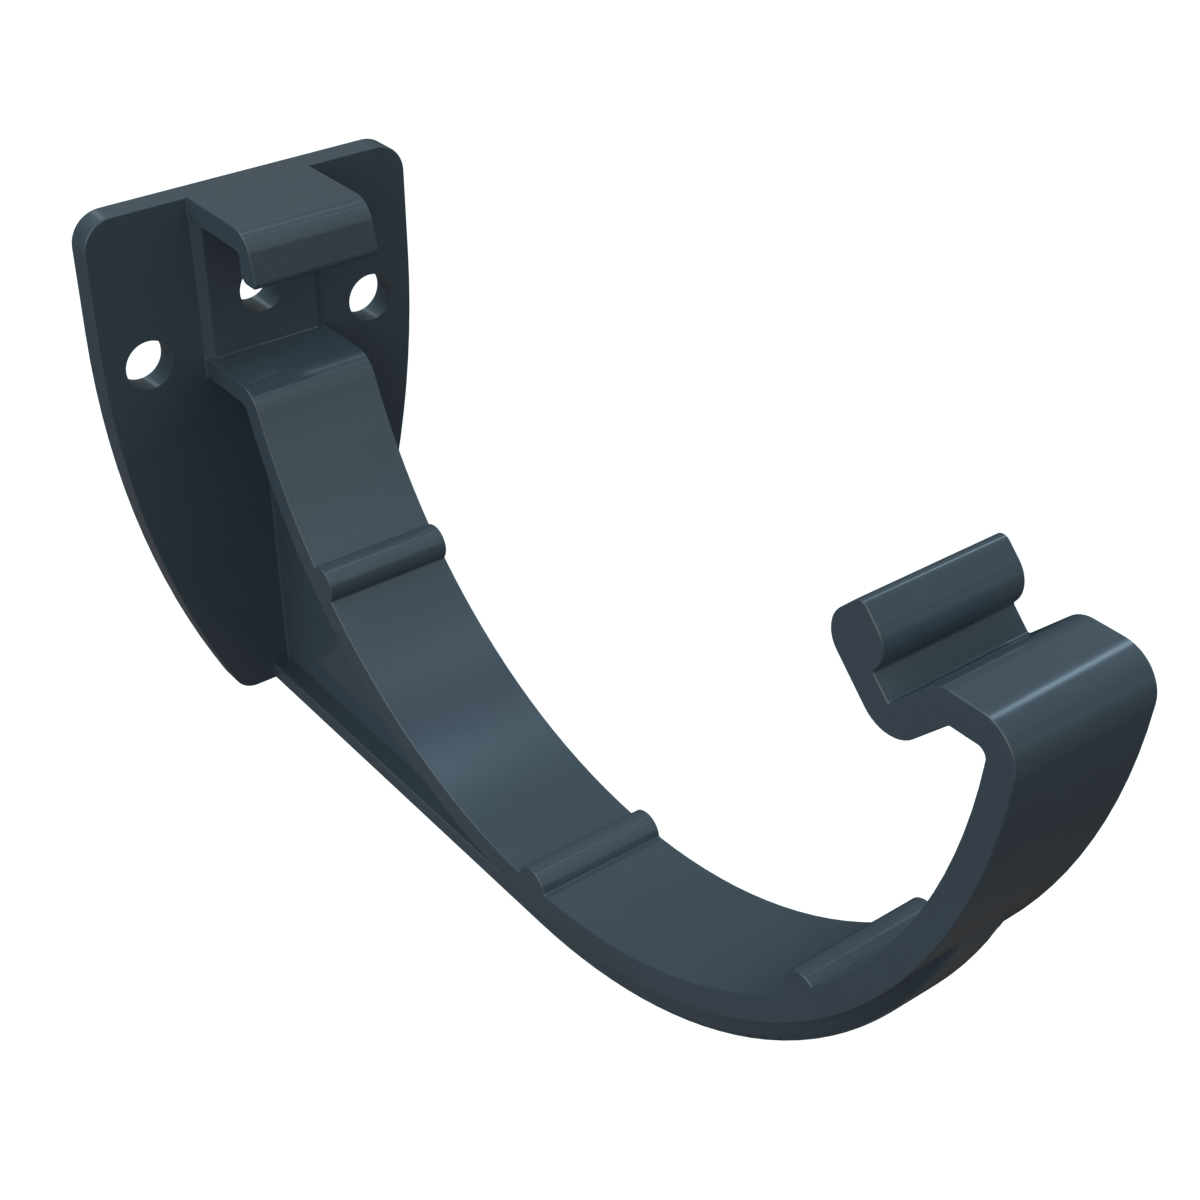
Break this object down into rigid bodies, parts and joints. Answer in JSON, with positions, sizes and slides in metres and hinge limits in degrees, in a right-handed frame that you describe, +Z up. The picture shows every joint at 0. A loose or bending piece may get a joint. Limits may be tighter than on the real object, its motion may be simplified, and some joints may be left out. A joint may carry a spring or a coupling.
{
  "type": "gutter bracket",
  "caption": "Fascia bracket for a half-round rainwater gutter: screw plate with clip tab, webbed cradle arm with cross ribs and a front hook that grips the gutter bead.",
  "frame": {"origin": "on the back face of the plate, on the axis of the centre screw hole", "axes": "+X out from the wall towards the hook, +Y along the gutter, +Z up"},
  "size_m": [0.1299, 0.0422, 0.0728],
  "materials": {
    "bracket_plastic": "satin-gloss anthracite blue-grey rigid PVC, moulded"
  },
  "bodies": {
    "root": {"gutter_bracket": "bracket_plastic"}
  },
  "joints": []
}
